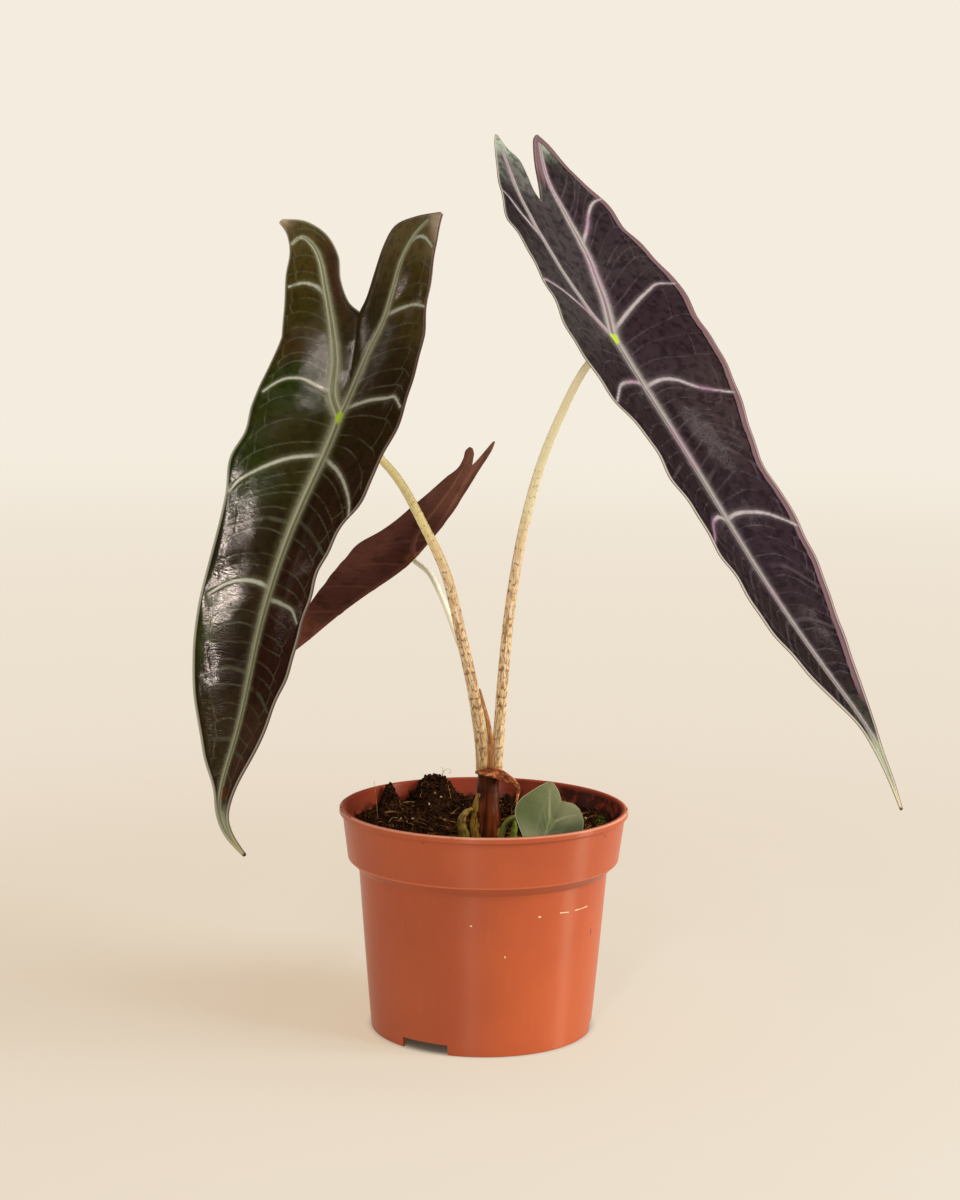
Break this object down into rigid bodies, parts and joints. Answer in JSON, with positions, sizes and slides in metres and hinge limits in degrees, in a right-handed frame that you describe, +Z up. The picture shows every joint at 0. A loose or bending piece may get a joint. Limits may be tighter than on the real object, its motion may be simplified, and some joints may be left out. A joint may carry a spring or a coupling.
{
  "type": "potted alocasia",
  "caption": "Potted aroid houseplant with long arrow-shaped dark leaves with pale veins, on slender petioles in a round nursery pot filled with peat.",
  "frame": {"origin": "middle of the pot's base disc, on its underside", "axes": "+Z up along the pot's axis, +X to the right and +Y away in the plant's usual front view"},
  "size_m": [0.2632, 0.2452, 0.3695],
  "materials": {
    "pot_plastic": "satin terracotta-coloured plastic",
    "peat": "crumbly damp peat",
    "neck_skin": "smooth glossy brown plant skin",
    "petiole_skin": "smooth plant skin, beige to yellow-green with brown rings",
    "back_petiole_skin": "smooth pale green plant skin",
    "young_petiole_skin": "smooth green plant skin",
    "left_blade_skin": "satin leathery leaf, near-black green with pale veins",
    "right_blade_skin": "satin leathery leaf, dark purple with pale veins",
    "back_blade_skin": "satin leathery leaf, maroon-brown underside",
    "young_blade_skin": "satin young leaf, grey-green",
    "dry_skin": "matt withered leaf tissue",
    "shoot_skin": "yellow-green shoot with brown marks"
  },
  "bodies": {
    "root": {"pot": "pot_plastic", "soil": "peat", "stem_neck": "neck_skin", "petiole_left": "petiole_skin", "petiole_right": "petiole_skin", "petiole_back": "back_petiole_skin", "petiole_young": "young_petiole_skin", "blade_left": "left_blade_skin", "blade_right": "right_blade_skin", "blade_back": "back_blade_skin", "blade_young": "young_blade_skin", "dry_sheath": "dry_skin", "withered_bract": "dry_skin", "shoot_left": "shoot_skin"}
  },
  "joints": []
}
